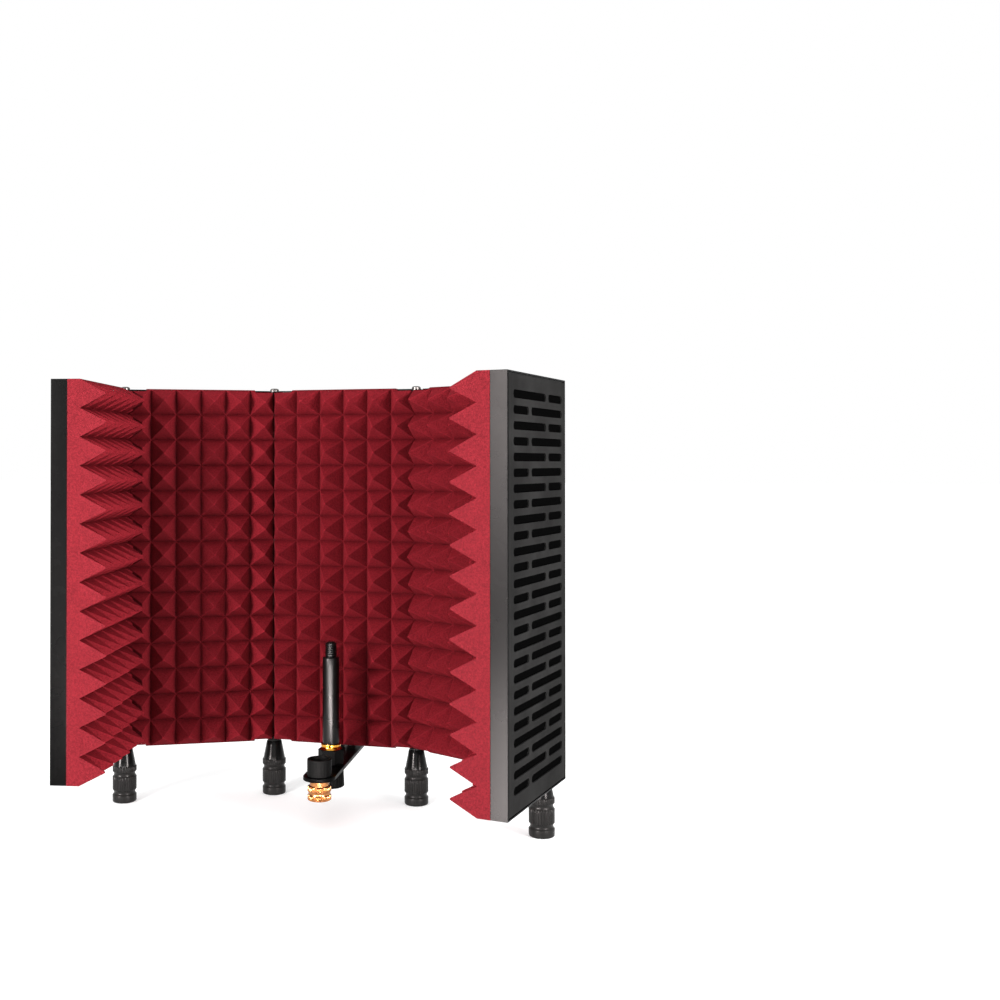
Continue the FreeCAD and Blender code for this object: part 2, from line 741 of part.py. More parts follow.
tail = size("rod_tail_radius")
nut_top = ARM_TOP + size("rod_nut_height")
ring_top = nut_top + size("ring_height")
stud, chamfer = size("stud_radius"), size("stud_chamfer")
rod_top = size("rod_top")
stud_top = rod_top + size("stud_length")
keep(turned("mic_rod", [
    (ZERO, ARM_TOP - size("rod_tail")), (tail, ARM_TOP - size("rod_tail")),
    (tail, ring_top), (size("rod_radius"), ring_top),
    (size("rod_radius"), rod_top - chamfer), (size("rod_radius") - chamfer, rod_top),
    (stud, rod_top), (stud, stud_top - chamfer), (stud - chamfer, stud_top), (ZERO, stud_top),
]), on_arm(ROD_AT))

bore = tail + size("thread_play")
keep(turned("rod_ring", [
    (bore, nut_top), (size("ring_foot_radius"), nut_top),
    (size("ring_top_radius") - 0.5, nut_top + size("ring_height") * 0.5),
    (size("ring_top_radius"), nut_top + size("ring_height") * 0.6),
    (size("ring_top_radius"), ring_top - 0.3), (size("ring_top_radius") - 0.3, ring_top),
    (bore, ring_top),
]), on_arm(ROD_AT))

keep(hex_nut("rod_nut", size("rod_nut_radius"), ARM_TOP, size("rod_nut_height"), bore),
     on_arm(ROD_AT))

knob_low = ARM_LOW - size("knob_height")
edge = size("knob_edge")
keep(turned("rod_knob", [
    (bore, ARM_LOW), (bore, knob_low + 2.0), (ZERO, knob_low + 2.0), (ZERO, knob_low),
    (size("knob_radius") - edge, knob_low), (size("knob_radius") - edge * 0.3, knob_low + edge * 0.3),
    (size("knob_radius"), knob_low + edge), (size("knob_top_radius"), ARM_LOW),
]), on_arm(ROD_AT))

shank = size("shank_radius")
cup_bore = shank + size("thread_play")
cup_top = ARM_TOP + size("cup_height")
rim = size("cup_recess_radius")
keep(turned("cup_nut", [
    (cup_bore, ARM_TOP), (size("cup_radius"), ARM_TOP), (size("cup_radius"), cup_top - 0.8),
    (size("cup_radius") - 0.8, cup_top), (rim, cup_top), (rim, cup_top - size("cup_recess")),
    (cup_bore, cup_top - size("cup_recess")),
]), on_arm(STAND_AT))

neck_top = ARM_LOW - size("thread_play")
upper_top = neck_top - size("adapter_neck")
upper_low = upper_top - size("adapter_upper_ring")
lower_top = upper_low - size("adapter_groove")
lower_low = lower_top - size("adapter_lower_ring")
inside = lower_low + size("adapter_thread_depth")
full = size("adapter_radius")
waist = full - size("adapter_groove_depth")
adapter = turned("stand_adapter", [
    (size("adapter_thread_radius"), lower_low), (full, lower_low), (full, lower_top),
    (waist, lower_top + 0.6), (waist, upper_low - 0.6), (full, upper_low), (full, upper_top),
    (size("adapter_neck_radius"), upper_top), (size("adapter_neck_radius"), neck_top),
    (shank, neck_top), (shank, size("shank_top")), (ZERO, size("shank_top")),
    (ZERO, inside), (size("adapter_thread_radius"), inside),
])
knurl(adapter, [(lower_low, lower_top), (upper_low, upper_top)], full)
keep(adapter, on_arm(STAND_AT))

# ---------------------------------------------------------------- checks and export

doc.recompute()

for item in doc.Objects:
    if "Invalid" in item.State or "Error" in item.State:
        raise RuntimeError(f"{item.Label}: {item.State}")

os.makedirs("parts", exist_ok=True)
for part in finished:
    shape = part.Shape
    if shape.isNull() or not shape.isValid():
        raise RuntimeError(f"{part.Label} has no valid shape")
    shape.exportStep(f"parts/{part.Label}.step")
    print(f"{part.Label}: {len(shape.Solids)} solid(s), {shape.Volume / 1000:.2f} cm3")
print(f"hinge line y {HINGE_LINE_Y:.3f}, lift {LIFT:.3f}, parts {len(finished)}")
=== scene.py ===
"""The folding microphone isolation shield's visual model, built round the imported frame."""
import json
import math
import random

import bmesh
import bpy
from mathutils import Matrix, Vector, noise


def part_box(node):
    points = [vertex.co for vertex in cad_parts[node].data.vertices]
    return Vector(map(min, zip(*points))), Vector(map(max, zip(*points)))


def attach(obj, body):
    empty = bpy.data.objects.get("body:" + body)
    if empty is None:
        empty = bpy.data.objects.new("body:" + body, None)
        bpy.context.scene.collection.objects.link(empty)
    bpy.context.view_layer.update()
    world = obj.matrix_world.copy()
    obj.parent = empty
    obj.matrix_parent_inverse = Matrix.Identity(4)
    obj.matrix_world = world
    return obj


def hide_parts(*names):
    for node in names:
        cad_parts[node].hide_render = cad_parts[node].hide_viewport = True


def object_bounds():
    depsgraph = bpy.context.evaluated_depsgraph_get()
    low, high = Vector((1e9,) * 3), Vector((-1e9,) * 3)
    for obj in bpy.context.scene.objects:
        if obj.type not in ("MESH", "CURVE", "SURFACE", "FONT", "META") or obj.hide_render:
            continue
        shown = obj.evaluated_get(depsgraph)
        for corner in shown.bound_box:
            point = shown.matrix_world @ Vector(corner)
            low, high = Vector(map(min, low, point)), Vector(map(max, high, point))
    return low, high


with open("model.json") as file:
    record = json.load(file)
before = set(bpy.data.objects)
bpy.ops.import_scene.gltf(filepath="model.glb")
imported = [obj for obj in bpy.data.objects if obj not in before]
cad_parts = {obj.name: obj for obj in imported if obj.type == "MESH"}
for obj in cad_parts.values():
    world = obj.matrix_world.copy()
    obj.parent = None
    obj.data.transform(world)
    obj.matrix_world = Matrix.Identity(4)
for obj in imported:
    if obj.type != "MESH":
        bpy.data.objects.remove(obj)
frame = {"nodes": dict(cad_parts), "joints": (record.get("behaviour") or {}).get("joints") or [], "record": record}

CAD_LOW, CAD_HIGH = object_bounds()
MM = 0.001
TURN = 2 * math.pi

NODES = frame["nodes"]
JOINTS = {joint["name"]: joint for joint in frame["joints"]}
BODY_OF = {
    node: body
    for body, nodes in frame["record"]["behaviour"]["bodies"].items()
    for node in nodes
}


# ---------------------------------------------------------------- materials

class Finish:
    """One Principled material; its patterns are laid out in the object's own coordinates."""

    def __init__(self, name, colour, roughness, **constants):
        self.material = bpy.data.materials.new(name)
        self.material.use_nodes = True
        self.tree = self.material.node_tree
        self.shader = self.tree.nodes["Principled BSDF"]
        self.where = self.tree.nodes.new("ShaderNodeTexCoord").outputs["Object"]
        self.set("Base Color", (*colour, 1.0))
        self.set("Roughness", roughness)
        for socket, value in constants.items():
            self.set(socket.replace("_", " "), value)

    def put(self, socket, value):
        """Gives a socket a constant, or links another node's output to it."""
        if hasattr(value, "is_linked"):
            self.tree.links.new(value, socket)
        else:
            socket.default_value = value

    def set(self, name, value):
        self.put(self.shader.inputs[name], value)

    def math(self, operation, *values):
        node = self.tree.nodes.new("ShaderNodeMath")
        node.operation = operation
        for socket, value in zip(node.inputs, values):
            self.put(socket, value)
        return node.outputs[0]

    def noise(self, size, detail=2.0, rough=0.5, stretch=None):
        """Soft blotches about size millimetres wide; stretch lengthens them along an axis."""
        node = self.tree.nodes.new("ShaderNodeTexNoise")
        node.inputs["Scale"].default_value = 1 / (size * MM)
        node.inputs["Detail"].default_value = detail
        node.inputs["Roughness"].default_value = rough
        self.put(node.inputs["Vector"], self.stretched(stretch) if stretch else self.where)
        return node.outputs[0]

    def cells(self, size):
        """Distance from the middles of cells about size millimetres wide."""
        node = self.tree.nodes.new("ShaderNodeTexVoronoi")
        node.inputs["Scale"].default_value = 1 / (size * MM)
        self.put(node.inputs["Vector"], self.where)
        return node.outputs["Distance"]

    def stretched(self, factors):
        node = self.tree.nodes.new("ShaderNodeMapping")
        self.put(node.inputs["Vector"], self.where)
        node.inputs["Scale"].default_value = [1 / f for f in factors]
        return node.outputs[0]

    def spread(self, value, low, high, start=0.35, end=0.65):
        """Maps start..end, by default the middle of a noise's range, to low..high."""
        node = self.tree.nodes.new("ShaderNodeMapRange")
        for socket, number in zip(node.inputs, (value, start, end, low, high)):
            self.put(socket, number)
        return node.outputs[0]

    def mix(self, factor, first, second):
        """A colour between two colours, each a tuple or another node's output."""
        node = self.tree.nodes.new("ShaderNodeMix")
        node.data_type = "RGBA"
        self.put(node.inputs["Factor"], factor)
        sockets = [s for s in node.inputs if s.type == "RGBA"]
        for socket, colour in zip(sockets, (first, second)):
            self.put(socket, (*colour, 1.0) if isinstance(colour, tuple) and len(colour) == 3
                     else colour)
        return next(s for s in node.outputs if s.type == "RGBA")

    def bump(self, height, depth, normal=None):
        """Relief of depth millimetres."""
        node = self.tree.nodes.new("ShaderNodeBump")
        node.inputs["Distance"].default_value = depth * MM
        self.put(node.inputs["Height"], height)
        if normal is not None:
            self.put(node.inputs["Normal"], normal)
        return node.outputs[0]


def shaded(colour, factor):
    """The same hue, darker below a factor of 1 and paler above it."""
    return tuple(min(1.0, c * factor) for c in colour)


def powder_coat(name, colour, roughness, grain=0.8, relief=0.02, uneven=0.05, **constants):
    """Baked powder coat: fine orange peel, faint mottling and slightly uneven gloss."""
    finish = Finish(name, colour, roughness, **constants)
    mottle = finish.spread(finish.noise(38, 3.0), 0.0, 1.0)
    finish.set("Base Color", finish.mix(mottle, shaded(colour, 0.82), shaded(colour, 1.22)))
    finish.set("Roughness", finish.spread(
        finish.noise(9, 3.0), roughness - uneven, roughness + uneven))
    peel = finish.bump(finish.noise(grain, 1.5), relief)
    finish.set("Normal", finish.bump(finish.noise(grain * 5, 1.0), relief * 1.5, peel))
    return finish.material


def foam_finish(name, colour, paint_ridge_highlight_and_valley_shade):
    """Open-cell foam.  On pyramids, whose "cell" attribute counts columns and rows, a painted
    highlight lies along each ridge line and painted shade darkens the valleys."""
    # The valleys' dark tone is painted shade; the palest tone serves both the pale grain and the painted highlight
    # along the ridge lines.
    grain_dark, pore_dark, painted_valley_shade, pale = (
        shaded(colour, factor) for factor in (0.20, 0.35, 0.25, 1.55))
    finish = Finish(name, colour, 0.95, Specular_IOR_Level=0.01)
    grain = finish.noise(1.5, 3.0, 0.8)
    pores = finish.cells(1.2)
    patches = finish.noise(26, 2.0)
    base = finish.mix(finish.spread(patches, 0.0, 1.0), shaded(colour, 0.93), shaded(colour, 1.07))
    base = finish.mix(
        finish.spread(grain, 0.0, 1.0, 0.36, 0.64),
        finish.mix(0.38, base, grain_dark), finish.mix(0.36, base, pale))
    base = finish.mix(finish.spread(pores, 0.20, 0.0, 0.05, 0.35), base, pore_dark)
    # Painted light on the pyramids: a pale line along each ridge is a painted highlight, and the darker valleys
    # are painted shade.
    if paint_ridge_highlight_and_valley_shade:
        node = finish.tree.nodes.new("ShaderNodeAttribute")
        node.attribute_name = "cell"
        split = finish.tree.nodes.new("ShaderNodeSeparateXYZ")
        finish.put(split.inputs[0], node.outputs["Vector"])
        across, up = [
            finish.math("ABSOLUTE", finish.math("SUBTRACT", finish.math("FRACT", side), 0.5))
            for side in (split.outputs[0], split.outputs[1])
        ]
        off_ridge = finish.math("ABSOLUTE", finish.math("SUBTRACT", across, up))
        wander = finish.spread(grain, 0.0, 0.03)
        # Mask of the painted ridge highlight.
        ridge = finish.spread(finish.math("ADD", off_ridge, wander), 0.42, 0.0, 0.008, 0.045)
        # Mask of the painted valley shade.
        valley = finish.spread(finish.math("MAXIMUM", across, up), 0.0, 0.42, 0.36, 0.5)
        base = finish.mix(valley, base, painted_valley_shade)
        base = finish.mix(ridge, base, pale)
    finish.set("Base Color", base)
    finish.set("Roughness", finish.spread(grain, 0.88, 1.0))
    coarse = finish.bump(finish.noise(2.6, 2.0), 0.25)
    open_cells = finish.bump(pores, 0.3, coarse)
    finish.set("Normal", finish.bump(grain, 0.35, open_cells))
    return finish.material


def fibre_finish(name, colour, fibre, relief):
    """Needled felt or wadding: fibres lying every way."""
    finish = Finish(name, colour, 0.97, Specular_IOR_Level=0.0)
    along = finish.noise(fibre, 3.0, 0.7, (6.0, 1.0, 1.0))
    across = finish.noise(fibre, 3.0, 0.7, (1.0, 1.0, 6.0))
    both = finish.math("MAXIMUM", along, across)
    finish.set("Base Color", finish.mix(
        finish.spread(both, 0.0, 1.0), shaded(colour, 0.55), shaded(colour, 1.5)))
    finish.set("Normal", finish.bump(both, relief))
    return finish.material


def board_finish(name, colour):
    """Pressed fibre board."""
    finish = Finish(name, colour, 0.85, Specular_IOR_Level=0.25)
    pressed = finish.noise(2.2, 4.0, 0.7)
    finish.set("Base Color", finish.mix(
        finish.spread(pressed, 0.0, 1.0), shaded(colour, 0.7), shaded(colour, 1.35)))
    finish.set("Roughness", finish.spread(pressed, 0.78, 0.92))
    finish.set("Normal", finish.bump(pressed, 0.06))
    return finish.material


def metal_finish(name, colour, roughness, tarnish, brushing=0.0):
    """Machined metal: turning marks round the axis, tarnish in patches."""
    finish = Finish(name, colour, roughness, Metallic=1.0)
    patches = finish.noise(5, 4.0, 0.6)
    finish.set("Base Color", finish.mix(
        finish.spread(patches, 0.0, 1.0), shaded(colour, tarnish), colour))
    finish.set("Roughness", finish.spread(
        finish.noise(1.6, 3.0), roughness - 0.05, roughness + 0.07))
    if brushing:
        finish.set("Normal", finish.bump(finish.noise(0.35, 2.0, 0.6, (40, 40, 1)), brushing))
    return finish.material


def anodised(name, colour, roughness, streak=0.0, grain=0.0, **constants):
    """Black anodised or painted metal, a little uneven up and down its length."""
    finish = Finish(name, colour, roughness, **constants)
    streaks = finish.noise(3.5, 1.0, 0.5, (1, 1, 20))
    finish.set("Base Color", finish.mix(
        finish.spread(streaks, 0.0, 1.0), shaded(colour, 1 - streak), shaded(colour, 1 + streak)))
    finish.set("Roughness", finish.spread(
        finish.noise(14, 1.0), roughness - 0.03, roughness + 0.03))
    if grain:
        finish.set("Normal", finish.bump(finish.noise(0.5, 1.0), grain))
    return finish.material


# Each of the record's material slots, then the finishes of parts of pieces.
FINISHES = {
    "frame_black": powder_coat("frame_powder_coat", (0.0010, 0.0010, 0.0010), 0.27, relief=0.001,
                               uneven=0.006, Specular_IOR_Level=0.032),
    "grille_black": powder_coat("grille_powder_coat", (0.0130, 0.0127, 0.0125), 0.50,
                                relief=0.008, Specular_IOR_Level=0.001),
    "black_felt": fibre_finish("black_felt", (0.0010, 0.0010, 0.0010), 0.35, 0.25),
    "grey_batt": fibre_finish("grey_wadding", (0.16, 0.16, 0.165), 0.6, 0.4),
    "black_board": board_finish("black_fibre_board", (0.012, 0.011, 0.010)),
    # Pyramid foam, with a painted highlight on its ridge lines and painted shade in its valleys.
    "red_foam": foam_finish("red_pyramid_foam_painted_ridge_light", (0.142, 0.0084, 0.0128), True),
    "bright_steel": metal_finish("plated_steel", (0.17, 0.165, 0.16), 0.30, 0.55, 0.01),
    "foot_black": anodised("foot_anodised", (0.0092, 0.0086, 0.0083), 0.30, 0.10, 0.004,
                           Specular_IOR_Level=0.09),
    "arm_black": powder_coat("arm_powder_coat", (0.0022, 0.0022, 0.0022), 0.34, relief=0.006,
                             Specular_IOR_Level=0.02),
    "rod_black": anodised("rod_anodised", (0.0018, 0.0017, 0.0017), 0.30, 0.05,
                          Specular_IOR_Level=0.15),
    "knob_black": anodised("knob_satin_black", (0.0046, 0.0045, 0.0044), 0.46, 0.10, 0.006,
                           Specular_IOR_Level=0.025),
    "gold_brass": metal_finish("gold_brass", (0.88, 0.43, 0.055), 0.15, 0.62, 0.008),
    "copper_brass": metal_finish("copper_brass", (0.60, 0.26, 0.095), 0.20, 0.42, 0.012),
}
# Cut foam faces: a paler, less saturated red that is painted sheen, standing in for light scattered off the lit
# cut faces.
CUT_FOAM_PAINTED_SHEEN = foam_finish("red_foam_cut_face_painted_sheen", (0.120, 0.0094, 0.0134), False)
GLOSS_BLACK = anodised("foot_cone_gloss", (0.0022, 0.0022, 0.0022), 0.20, 0.05,
                       Specular_IOR_Level=0.10)
# Near-black metal for the bolt shanks is painted shade: the real shank has the head's plating and only looks dark
# in the narrow seam between the foam pieces.
SHANK_PAINTED_SHADE = metal_finish("shank_painted_shade", (0.012, 0.011, 0.011), 0.60, 0.7)


# ---------------------------------------------------------------- helpers for pieces

def new_piece(name, mesh, node, slot, sharp=30.0, material=None):
    """A piece that stands for a CAD node and rides on its body."""
    piece = bpy.data.objects.new(name, mesh)
    bpy.context.scene.collection.objects.link(piece)
    mesh.materials.clear()
    mesh.materials.append(material or FINISHES[slot])
    mesh.shade_smooth()
    mesh.set_sharp_from_angle(angle=math.radians(sharp))
    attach(piece, BODY_OF[node])
    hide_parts(node)
    return piece


def band(piece, material, low, high):
    """Gives the part of a piece between two heights another finish."""
    piece.data.materials.append(material)
    for face in piece.data.polygons:
        if low < face.center.z < high:
            face.material_index = 1


def repainted(node, slot):
    """A CAD node whose shape is right keeps it and takes a better finish."""
    mesh = NODES[node].data
    mesh.materials.clear()
    mesh.materials.append(FINISHES[slot])


def softened(node, name, slot, edge):
    """A sheet-metal piece: the node's own shape, with its edges rounded by edge mm."""
    same_point, same_plane, an_edge = 0.002 * MM, math.radians(0.6), math.radians(35)
    mesh = NODES[node].data.copy()
    shape = bmesh.new()
    shape.from_mesh(mesh)
    bmesh.ops.remove_doubles(shape, verts=shape.verts, dist=same_point)
    bmesh.ops.dissolve_limit(
        shape, angle_limit=same_plane, verts=shape.verts, edges=shape.edges)
    sharp = [e for e in shape.edges
             if len(e.link_faces) == 2 and e.calc_face_angle(0) > an_edge]
    bmesh.ops.bevel(
        shape, geom=sharp, offset=edge * MM, offset_type="OFFSET", segments=2, profile=0.5,
        affect="EDGES", clamp_overlap=True)
    bmesh.ops.recalc_face_normals(shape, faces=shape.faces)
    shape.to_mesh(mesh)
    shape.free()
    piece = new_piece(name, mesh, node, slot)
    normals = piece.modifiers.new("face_weights", "WEIGHTED_NORMAL")
    normals.keep_sharp = True


def turned(name, node, slot, centre, rings, segments=72, loop=False, phase=0.0, sharp=30.0):
    """A turned piece.  rings lists (radius, height) from one end of its section to the other;
    a radius may be a function of the angle, which starts at phase.  A section that returns to
    its start is a loop."""
    shape = bmesh.new()
    levels = []
    for radius, height in rings:
        if radius == 0:
            levels.append([shape.verts.new((centre[0], centre[1], height))])
            continue
        level = []
        for k in range(segments):
            angle = TURN * k / segments
            r = radius(angle) if callable(radius) else radius
            level.append(shape.verts.new((
                centre[0] + r * math.cos(angle + phase),
                centre[1] + r * math.sin(angle + phase), height)))
        levels.append(level)
    pairs = list(zip(levels, levels[1:]))
    if loop:
        pairs.append((levels[-1], levels[0]))
    for first, second in pairs:
        for k in range(segments):
            after = (k + 1) % segments
            corners = [first[k % len(first)], first[after % len(first)],
                       second[after % len(second)], second[k % len(second)]]
            corners = list(dict.fromkeys(corners))
            shape.faces.new(corners)
    bmesh.ops.recalc_face_normals(shape, faces=shape.faces)
    mesh = bpy.data.meshes.new(name)
    shape.to_mesh(mesh)
    shape.free()
    return new_piece(name, mesh, node, slot, sharp)


def arc(radius, height, from_angle, to_angle, size, steps=5):
    """Rings round a small fillet whose middle is at (radius, height)."""
    points = []
    for k in range(steps + 1):
        a = math.radians(from_angle + (to_angle - from_angle) * k / steps)
        points.append((radius + size * math.cos(a), height + size * math.sin(a)))
    return points


def fluted(radius, depth, count):
    """Radius of a straight-knurled ring: narrow grooves between rounded lands."""
    return lambda angle: radius - depth * max(0.0, math.cos(angle * count)) ** 3


def six_sided(flat):
    """Radius of a hexagon, flat to its sides."""
    return lambda angle: flat / math.cos((angle % (TURN / 6)) - TURN / 12)


def thread(first, last, pitch, crest, root, steps=10):
    """Rings of a screw thread between two heights; it fades out at both ends."""
    rings = []
    count = max(2, round(abs(last - first) / pitch * steps))
    for k in range(count + 1):
        height = first + (last - first) * k / count
        ease = min(1.0, min(k, count - k) / steps * 1.4)

        def radius(angle, height=height, ease=ease):
            along = (height / pitch - angle / TURN) % 1
            tooth = max(0.0, min(1.0, abs(along - 0.5) * 3.4 - 0.75))
            return crest + (root - crest) * tooth * ease
        rings.append((radius, height))
    return rings


# ---------------------------------------------------------------- where the panels stand

HINGE_Y = JOINTS["inner_right_fold"]["pos_m"][1]
HALF_PITCH = JOINTS["inner_right_fold"]["pos_m"][0]
EDGE_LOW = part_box("tray_frame_3")[0].z


def rest_fold(joint):
    """How far a hinge is folded at rest: its range starts at flat."""
    return math.radians(-JOINTS[joint]["range_deg"][0])


def mitre_angle(joint):
    """Half of the most that a corner folds, and a degree to spare."""
    low, high = JOINTS[joint]["range_deg"]
    return math.radians((high - low + 1) / 2)


def panel_frame(panel):
    """From a panel's own frame (X along its width from the middle, Y outward from its hinge
    bolts' line, Z up from its lower edge) into the row's."""
    side = -1 if panel < 3 else 1
    if panel == 3:
        start, angle = Vector((-HALF_PITCH, HINGE_Y)), 0.0
    else:
        start = Vector(JOINTS["inner_right_fold"]["pos_m"][:2])
        angle = rest_fold("inner_right_fold")
        if panel in (1, 5):
            start = Vector(JOINTS["right_wing_fold"]["pos_m"][:2])
            angle += rest_fold("right_wing_fold")
    middle = start + HALF_PITCH * Vector((math.cos(angle), -math.sin(angle)))
    return (Matrix.Translation((side * middle.x, middle.y, EDGE_LOW))
            @ Matrix.Rotation(-side * angle, 4, "Z"))


PANELS = {panel: panel_frame(panel) for panel in range(1, 6)}
HINGES = {
    1: JOINTS["left_wing_fold"]["pos_m"], 2: JOINTS["inner_left_fold"]["pos_m"],
    3: JOINTS["inner_right_fold"]["pos_m"], 4: JOINTS["right_wing_fold"]["pos_m"],
}
# For each panel, the sides that have a hinge, with the joint that folds there.
CORNERS = {
    1: [(1, "left_wing_fold")],
    2: [(-1, "left_wing_fold"), (1, "inner_left_fold")],
    3: [(-1, "inner_left_fold"), (1, "inner_right_fold")],
    4: [(-1, "inner_right_fold"), (1, "right_wing_fold")],
    5: [(-1, "right_wing_fold")],
}


# ---------------------------------------------------------------- pyramid foam

FOAM_LOW, FOAM_HIGH = (
    corner - Vector((0, HINGE_Y, EDGE_LOW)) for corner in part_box("pyramid_foam_3"))
FOAM_HALF = FOAM_HIGH.x
FREE_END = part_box("tray_frame_3")[1].x
COLUMNS, ROWS = 6, 14
COLUMN = FOAM_HALF * 2 / COLUMNS
ROW = (FOAM_HIGH.z - FOAM_LOW.z) / ROWS
TOOTH = 21 * MM
BLUNT = 0.5 * MM                # half the width of a pyramid's tip
VALLEY = FOAM_LOW.y + TOOTH
GROOVE = 2.4 * MM               # round the hinge bolt
NOTCH = 4.5 * MM                # round the ears, from the panel's edge
NOTCH_INNER = 17.8 * MM         # along the panel, from the hinge bolt
NOTCH_DEEP = 7.3 * MM
SHARES = (0.0, 0.05, 0.16, 0.34, 0.54, 0.74, 0.90)   # grid lines from a valley to a tip


def grid_lines(low, high, valley, pitch):
    """Grid lines that follow the valleys, tips and slopes of a row of pyramids."""
    lines = {low, high}
    reach = pitch / 2 - BLUNT
    first = math.floor((low - valley) / pitch) - 1
    last = math.ceil((high - valley) / pitch) + 1
    for k in range(first, last + 1):
        for share in (*SHARES, 1.0):
            for side in (-1, 1):
                line = valley + k * pitch + side * share * reach
                if low + 0.2 * MM < line < high - 0.2 * MM:
                    lines.add(round(line, 7))
    return sorted(lines)


def climb(value, valley, pitch):
    """How far up a pyramid's side a point is, from 0 in the valley to 1 on the tip."""
    phase = (value - valley) / pitch
    away = abs(phase - round(phase)) * pitch
    return min(1.0, away / (pitch / 2 - BLUNT))


def soft_least(a, b, soft=0.035):
    """The smaller of two numbers, with a slightly rounded ridge where they meet."""
    blend = max(0.0, min(1.0, 0.5 + 0.5 * (b - a) / soft))
    return b + (a - b) * blend - soft * blend * (1 - blend)


def cutter(shape_of):
    """A throwaway solid for a boolean cut."""
    shape = bmesh.new()
    shape_of(shape)
    mesh = bpy.data.meshes.new("cutter")
    shape.to_mesh(mesh)
    shape.free()
    made = bpy.data.objects.new("cutter", mesh)
    bpy.context.scene.collection.objects.link(made)
    return made


def rim_of(across, up):
    """Once round the rim of a grid of points, by their column and row."""
    return ([(i, 0) for i in range(across + 1)] + [(across, k) for k in range(1, up + 1)]
            + [(i, up) for i in range(across - 1, -1, -1)]
            + [(0, k) for k in range(up - 1, 0, -1)])


def foam_block(left, right, valley):
    """The closed slab with its pyramids, before its ends are mitred."""
    xs = grid_lines(left, right, valley, COLUMN)
    zs = grid_lines(FOAM_LOW.z, FOAM_HIGH.z, FOAM_LOW.z, ROW)
    shape = bmesh.new()
    front = []
    for x in xs:
        f_x = climb(x, valley, COLUMN)
        line = []
        for z in zs:
            up = soft_least(f_x, climb(z, FOAM_LOW.z, ROW))
            line.append(shape.verts.new((x, VALLEY - TOOTH * max(0.0, up), z)))
        front.append(line)
    for i in range(len(xs) - 1):
        for k in range(len(zs) - 1):
            a, b = front[i][k], front[i + 1][k]
            c, d = front[i + 1][k + 1], front[i][k + 1]
            if abs(a.co.y - c.co.y) > abs(b.co.y - d.co.y):
                triangles = ((a, b, c), (a, c, d))
            else:
                triangles = ((a, b, d), (b, c, d))
            for corners in triangles:
                shape.faces.new(corners)
    rim = rim_of(len(xs) - 1, len(zs) - 1)
    back = [shape.verts.new((xs[i], FOAM_HIGH.y, zs[k])) for i, k in rim]
    for n, (i, k) in enumerate(rim):
        after = (n + 1) % len(rim)
        j, m = rim[after]
        shape.faces.new((front[i][k], back[n], back[after], front[j][m]))
    shape.faces.new(back)
    bmesh.ops.recalc_face_normals(shape, faces=shape.faces)
    return shape


